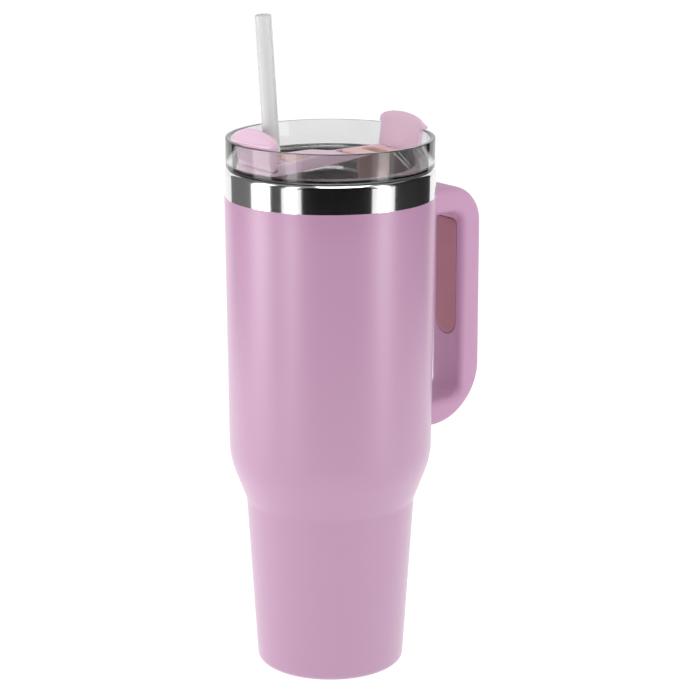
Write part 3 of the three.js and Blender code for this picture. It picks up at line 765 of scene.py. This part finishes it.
def clear_look(where):
    """A glossy moulding with very slight waves and a few fine scratches. The foot of its rim wall,
    where it stands on the steel, is painted near-black: painted shade for the gap there."""
    waves = where.noise(70, 1)
    scratch = where.stretched((60, 900, 60)).noise(3, 1)
    x, y = where.axis("X"), where.axis("Y")
    wall = (x * x + y * y).step((SEAT_SHADE_IN * MM) ** 2, 2e-5)
    # Painted shade: the foot of the rim wall is made near-black to stand for the shadowed gap between lid and
    # steel.
    seat_shade = wall * (1 - where.axis("Z").step((LID_SEAT_Z + SEAT_SHADE_H) * MM, 0.4 * MM))
    return {"Base Color": seat_shade.mix((0.74, 0.743, 0.745, 1), (0.01, 0.01, 0.01, 1)),
            "Roughness": scratch.step(0.66, 0.06) * 0.05 + 0.035, "Normal": waves.relief(0.05, 0.1 * MM)}


SIP_X = 26
SIP_L = 7
SIP_W = 15
SIP_NECK = 2.8  # what the neck's walls add to the slot
# Where the painted shade at the rim wall's foot sits: outside this radius, and up to this height above the
# seat.
SEAT_SHADE_IN = 46.2
SEAT_SHADE_H = 1.5
FLOOR_SPAN = (225, 233)  # heights on both sides of the bowl's floor
clear_plastic = material("clear_tritan", clear_look, IOR=1.54, Transmission_Weight=1.0)
bowl = build("lid_bowl_clear", [turned(bowl_outline(), AROUND)])
cut(bowl, *leaning(neck_r + GAP, NECK_BOTTOM - STRAW_Z - 1, 2, 48))
neck_room = SIP_NECK + 2 * GAP
cut(bowl, *pillar(slot_outline(SIP_X, SIP_L + neck_room, SIP_W + neck_room, 12), *FLOOR_SPAN))
fitted(bowl, clear_plastic, "lid", "clear_plastic", "lid_bowl")
# It casts no shadow, so the lamps light what is inside it.
bowl.visible_shadow = False

# ---- Lid gasket ----
# A moulded silicone ring in the plug's groove, with two ribs that wipe the liner.

GASKET_H = 4
GASKET_RIB = 0.7


def gasket_outline():
    """A flat back, and a front of two rounded ribs."""
    inner, outer, bottom = plug_r - GASKET_IN + GAP, liner_r - GAP, plug_bottom + GROOVE[0] + GAP
    share = np.linspace(0, 1, 33)
    ribs = outer - GASKET_RIB + GASKET_RIB * np.abs(np.sin(2 * pi * share)) ** 0.8
    front = np.stack([ribs, bottom + GASKET_H * share], 1)
    return joined([(inner, bottom)], front, [(inner, bottom + GASKET_H), (inner, bottom)])


def soft_silicone(where):
    """Translucent peach silicone with a matt skin and faint clouds."""
    cloud = where.noise(110, 2)
    return {"Base Color": cloud.mix((0.76, 0.475, 0.455, 1), (0.80, 0.515, 0.49, 1)),
            "Roughness": where.noise(700, 1) * 0.1 + 0.46,
            "Normal": where.noise(1700, 1).relief(0.2, 0.03 * MM)}


silicone = material("peach_silicone", soft_silicone, Subsurface_Weight=0.12, Subsurface_Radius=(1, 0.5, 0.45),
                    Subsurface_Scale=0.0015)
fitted(build("lid_gasket_ring", [turned(gasket_outline(), AROUND)]),
       silicone, "lid", "silicone", "lid_gasket")

# ---- Lid bridge ----
# A moulded bar across the bowl: a raised deck for the straw's seal, a slope down to the sip
# seat in its shallow tray, and open ends with stub pins for the two flaps.

BRIDGE_Z = LEDGE_Z + GAP
BRIDGE_W = 26.7
BRIDGE_R = lid_in_r - LID_FILLET - GAP
RAIL = 2.2
DECK_Z = BRIDGE_Z + 4.3
LOW_Z = BRIDGE_Z + 2.6
TRAY_Z = BRIDGE_Z + 0.9
RAMP = (-4, 12)
TOP_EDGE = 0.7
PIVOT_X = 37.5
SIP_PIVOT = LOW_Z - 1.2
STRAW_PIVOT = DECK_Z - 1.2
KNUCKLE_R = 1.35
KNUCKLES = (6.25, 10.85)
FLAP_LEAN = radians(8)
FLAP_OFFSET = 1.9
FLAP_T = 2.2
SEAL_W = 21.6
SEAL_T = 2.4
SEAL_CORNER = 3
DECK_SEAL = (1, 15.5)  # along X, from the straw's axis
BRIDGE_END = 6  # how much of each end has closer sections
BRIDGE_ROWS = 22
ABOVE = 262  # clear of every piece of the bridge
BELOW = 230


def bridge_top(x):
    """The bridge's top: the deck, a smooth slope, and the low end."""
    share = np.clip((x - RAMP[0]) / (RAMP[1] - RAMP[0]), 0, 1)
    return DECK_Z + (LOW_Z - DECK_Z) * share ** 2 * (3 - 2 * share)


def bridge_block():
    """Sections in YZ carried along X. Each has round upper edges, and its width and height follow
    the bowl's round wall and the slope."""
    ends = BRIDGE_R - (1 - np.cos(np.linspace(0, pi / 2, BRIDGE_ROWS))) * BRIDGE_END
    x = np.unique(np.concatenate([ends, -ends, np.arange(-38, 39)]))
    x[[0, -1]] *= 0.9999
    half = np.minimum(BRIDGE_W / 2, np.sqrt(BRIDGE_R ** 2 - x ** 2))
    top = bridge_top(x)
    edge = np.minimum(TOP_EDGE, half * 0.9)
    corner = arc(0, 0, 1, 0, 90, 5)
    y = np.concatenate([-half[None], half[None], half - edge + edge * corner[:, :1],
                        -(half - edge + edge * corner[::-1, :1])])
    z = np.concatenate([np.full((2, len(x)), BRIDGE_Z), top - edge + edge * corner[:, 1:],
                        top - edge + edge * corner[::-1, 1:]])
    points = np.stack([np.broadcast_to(x, y.shape), y, z], 2).transpose(1, 0, 2)
    rows, columns = points.shape[:2]
    return capped(points.reshape(-1, 3), grid_faces(rows, columns, False, True), rows, columns)


def round_plan(x_low, x_high, width, radius, steps):
    """A rectangle with round corners, in plan."""
    ring = round_section(x_high - x_low, width, radius, steps)
    return ring + [(x_low + x_high) / 2, 0]


def box_between(low, high):
    """A closed box between two corners."""
    (a, b, c), (d, e, f) = low, high
    return pillar(np.array([(a, b), (d, b), (d, e), (a, e)]), c, f)


def straw_seal_plan(grow, steps):
    """A wide field with round corners and a tab round the straw."""
    left, right, r = STRAW_X + DECK_SEAL[0] - grow, STRAW_X + DECK_SEAL[1] + grow, SEAL_CORNER
    half, tab = SEAL_W / 2 + grow, neck_r + grow
    return joined(
        [(left, -half)], arc(right - r, r - half, r, -90, 0, steps),
        arc(right - r, half - r, r, 0, 90, steps),
        [(left, half), (left, tab)], arc(STRAW_X, 0, tab, 90, 270, 3 * steps), [(left, -tab)])


def flap_rooms(side, pivot_z):
    """The room at one end for a flap: a box for its tongue and one for each knuckle."""
    bottom, top = pivot_z - KNUCKLE_R - GAP, DECK_Z + 3
    tongue = PIVOT_X + FLAP_OFFSET * cos(FLAP_LEAN) - KNUCKLE_R * sin(FLAP_LEAN) - GAP
    behind = PIVOT_X - KNUCKLE_R - GAP
    rooms = [((tongue, -20, bottom), (50, 20, top))]
    for a, b in ((KNUCKLES[0], KNUCKLES[1]), (-KNUCKLES[1], -KNUCKLES[0])):
        rooms.append(((behind, a - GAP, bottom), (50, b + GAP, top)))
    for low, high in rooms:
        corners = np.array([low, high]) * [side, 1, 1]
        yield box_between(corners.min(0), corners.max(0))


def lid_gloss(where):
    """Satin moulded plastic with faint flow clouds and a fine grain."""
    cloud = where.noise(60, 2)
    return {"Base Color": cloud.mix((0.725, 0.50, 0.632, 1), (0.755, 0.525, 0.66, 1)),
            "Roughness": where.noise(900, 2) * 0.1 + 0.30,
            "Normal": where.noise(2200, 1).relief(0.12, 0.02 * MM)}


lid_plastic = material("moulded_lid_plastic", lid_gloss, Specular_IOR_Level=0.5, Subsurface_Weight=0.05,
                       Subsurface_Radius=(1, 0.7, 0.85), Subsurface_Scale=0.001)
bridge = build("lid_bridge_bar", [bridge_block()])
cut(bridge, *pillar(round_plan(RAMP[1] - 2, 47, BRIDGE_W - 2 * RAIL, 2, 5), TRAY_Z, ABOVE))
cut(bridge, *pillar(straw_seal_plan(GAP, 5), STRAW_Z - SEAL_T - GAP, ABOVE))
cut(bridge, *leaning(neck_r + GAP, -6, 4, 48))
cut(bridge, *pillar(slot_outline(SIP_X, SIP_L + neck_room, SIP_W + neck_room, 10), BELOW, ABOVE))
for side, pivot_z in ((1, SIP_PIVOT), (-1, STRAW_PIVOT)):
    for room in flap_rooms(side, pivot_z):
        cut(bridge, *room)
fitted(bridge, lid_plastic, "lid", "lid_plastic", "lid_bridge")

# ---- Flap pins ----
# Steel stub pins, each through one rail and one knuckle.

keep(polished_steel, *(f"{end}_flap_pin_{hand}" for end in ("sip", "straw") for hand in ("left", "right")))

# ---- Seals ----
# Peach silicone: a raised pad round the straw and another round the sip slot, each with a neck
# down through the lid's floor.


def soft_pad(outline, low, high, edge, steps):
    """An upright shape with a rounded upper edge: the outline shrinks as it nears the top."""
    angles = np.linspace(0, pi / 2, steps + 1)
    levels = [(low, 0)] + [(high - edge + edge * sin(a), edge * (1 - cos(a))) for a in angles]
    flat = [moved_left(np.concatenate([outline[-1:], outline, outline[:1]]), inset)[1:-1]
            for _, inset in levels]
    rows = [np.column_stack([ring, np.full(len(ring), z)]) for ring, (z, _) in zip(flat, levels)]
    return capped(np.concatenate(rows), grid_faces(len(rows), len(outline), False, True),
                  len(rows), len(outline))


def joined_to(piece, points, faces):
    """Adds a closed shape to a piece."""
    cut(piece, points, faces, "UNION")


SEAL_EDGE = 0.6
straw_seal = build("straw_seal_pad", [
    soft_pad(straw_seal_plan(0, 8), STRAW_Z - SEAL_T, STRAW_Z, SEAL_EDGE, 4)])
joined_to(straw_seal, *leaning(neck_r, NECK_BOTTOM - STRAW_Z, -1.2, 48))
cut(straw_seal, *leaning(STRAW_R + STRAW_GAP, -30, 5, 48))
fitted(straw_seal, silicone, "lid", "silicone", "straw_seal")

SIP_SEAL = (RAMP[1] + 1.5, PIVOT_X - KNUCKLE_R - 2 * GAP)
SIP_TOP = LOW_Z + 0.4
sip_seal = build("sip_seal_pad", [
    soft_pad(round_plan(*SIP_SEAL, SEAL_W, SEAL_CORNER, 8), TRAY_Z + GAP, SIP_TOP, SEAL_EDGE, 4)])
neck = slot_outline(SIP_X, SIP_L + SIP_NECK, SIP_W + SIP_NECK, 16)
joined_to(sip_seal, *pillar(neck, NECK_BOTTOM, TRAY_Z + 1))
cut(sip_seal, *pillar(slot_outline(SIP_X, SIP_L, SIP_W, 16), BELOW, ABOVE))
fitted(sip_seal, silicone, "lid", "silicone", "sip_seal")

# ---- Flaps ----
# Two lids on stub pins. Each is a flat tongue in the bowl and, above the clear rim, a wider
# head with a half-round crest, whose outer side sweeps out to a lip for the fingertip.

LIP_W = 31
FLAP_W = 29.2
LIP_T = 1.6
LIP_REACH = 49.2 - lid_in_r + 0.6  # from the bowl's wall to past its outside
TONGUE_DROP = 0.8
TONGUE_CORNER = 2
PIN_HOLE_R = 0.75
CREST_Z = lid_rim_z + 7.6
LIP_Z = lid_rim_z + 1.4
HEAD_STEPS = 60


def head_section(y, crest, lip_z):
    """The head's outline in XZ at one station: a rounded lip, a concave sweep up to the crest, a
    rounded crest and a flat inner face. The crest's height over the lip is a half ellipse."""
    arch = np.sqrt(1 - (2 * y / (LIP_W + 0.6)) ** 2)
    face = FLAP_OFFSET + FLAP_T
    tip = face + LIP_REACH * (0.35 + 0.65 * arch)
    base = lip_z + LIP_T
    top = base + (crest - base) * arch
    soft = 0.55
    return np.concatenate([
        [(FLAP_OFFSET, lip_z)],
        arc(tip - LIP_T / 2, lip_z + LIP_T / 2, LIP_T / 2, -90, 90, 10),
        bend((tip - LIP_T / 2, base), (face + 0.4 * (tip - face), base + 0.45 * (top - base)),
             (face - 0.6, top - soft), 16)[1:],
        arc(face - 0.6 - soft, top - soft, soft, 0, 90, 4)[1:],
        arc(FLAP_OFFSET + 0.4, top - 0.4, 0.4, 90, 180, 4)]) - [0.01, 0]


def placed_flap(points, side, pivot_z):
    """Leans a flap outwards on its pin, and moves it to its end of the bridge."""
    x, y, z = points.T
    lean_x = x * cos(FLAP_LEAN) + z * sin(FLAP_LEAN) + PIVOT_X
    lean_z = z * cos(FLAP_LEAN) - x * sin(FLAP_LEAN) + pivot_z
    return np.column_stack([side * lean_x, side * y, lean_z])


def cross_rod(radius, low, high, around):
    """A rod along Y, on a flap's own pin axis."""
    circle = arc(0, 0, radius, 0, 360 - 360 / around, around - 1)
    rows = np.concatenate([np.insert(circle, 1, y, axis=1) for y in (low, high)])
    return capped(rows, grid_faces(2, around, False, True), 2, around)


def flap_parts(side, pivot_z):
    """The head's stations from edge to edge, the tongue, and the knuckles with their webs."""
    crest = (CREST_Z - pivot_z) / cos(FLAP_LEAN)
    lip_z = (LIP_Z - pivot_z) / cos(FLAP_LEAN)
    stations = LIP_W / 2 * np.sin(pi * np.linspace(-0.5, 0.5, HEAD_STEPS + 1))
    rings = [np.insert(head_section(y, crest, lip_z), 1, y, axis=1) for y in stations]
    head = capped(np.concatenate(rings), grid_faces(len(rings), len(rings[0]), False, True),
                  len(rings), len(rings[0]))
    half, r = FLAP_W / 2, TONGUE_CORNER
    outline = joined(arc(half - r, r - TONGUE_DROP, r, -90, 0, 6),
                     [(half, lip_z + 0.8), (-half, lip_z + 0.8)],
                     arc(r - half, r - TONGUE_DROP, r, 180, 270, 6))
    soft = 0.35
    tongue = pillow(outline, [(FLAP_OFFSET, soft), (FLAP_OFFSET + 0.1, 0.1), (FLAP_OFFSET + soft, 0),
                              (FLAP_OFFSET + FLAP_T - soft, 0), (FLAP_OFFSET + FLAP_T - 0.1, 0.1),
                              (FLAP_OFFSET + FLAP_T, soft)])
    shapes = [head, tongue]
    for low, high in ((-KNUCKLES[1], -KNUCKLES[0]), KNUCKLES):
        shapes.append(cross_rod(KNUCKLE_R, low, high, 24))
        shapes.append(box_between((0.1, low + 0.03, 0.03 - TONGUE_DROP),
                                  (FLAP_OFFSET + 0.5, high - 0.03, 0.8 * KNUCKLE_R)))
    return [(placed_flap(np.asarray(points, float), side, pivot_z), faces) for points, faces in shapes]


for end, side, pivot_z in (("sip", 1, SIP_PIVOT), ("straw", -1, STRAW_PIVOT)):
    shapes = flap_parts(side, pivot_z)
    leaf = build(f"{end}_flap_leaf", shapes[:1])
    for shape in shapes[1:]:
        joined_to(leaf, *shape)
    bore, bore_faces = cross_rod(PIN_HOLE_R, -15, 15, 16)
    cut(leaf, placed_flap(bore, side, pivot_z), bore_faces)
    fitted(leaf, lid_plastic, f"{end}_flap", "lid_plastic", f"{end}_flap")

# ---- Straw ----
# Extruded Tritan tube, slightly milky, with polished ends.

STRAW_ABOVE = 66
STRAW_LENGTH = 302


def tube():
    """A tube along the straw's axis, with rounded ends."""
    low, high, soft = STRAW_ABOVE - STRAW_LENGTH, STRAW_ABOVE, 0.25
    section = []
    for z, turn in ((low, 1), (high, -1)):
        section.append([(STRAW_R, z + turn * soft), (STRAW_R - soft * 0.3, z + turn * soft * 0.3),
                        (STRAW_R - soft, z), (STRAW_BORE_R + soft, z),
                        (STRAW_BORE_R + soft * 0.3, z + turn * soft * 0.3), (STRAW_BORE_R, z + turn * soft)])
    outline = np.concatenate([np.array(section[1]), np.array(section[0])[::-1], np.array(section[1])[:1]])
    points, faces = turned(outline, 64)
    return on_straw_axis(*points.T), faces


def extruded(where):
    """Die lines along the tube, and slightly milky plastic."""
    lines = where.stretched((900, 900, 12)).noise(1, 2)
    return {"Roughness": lines * 0.12 + 0.16, "Normal": lines.relief(0.15, 0.03 * MM)}


straw_plastic = material("frosted_tritan", extruded, Base_Color=(0.87, 0.867, 0.864, 1), IOR=1.5,
                         Transmission_Weight=0.4)
fitted(build("straw_tube", [tube()]), straw_plastic, "straw", "straw_plastic", "straw")
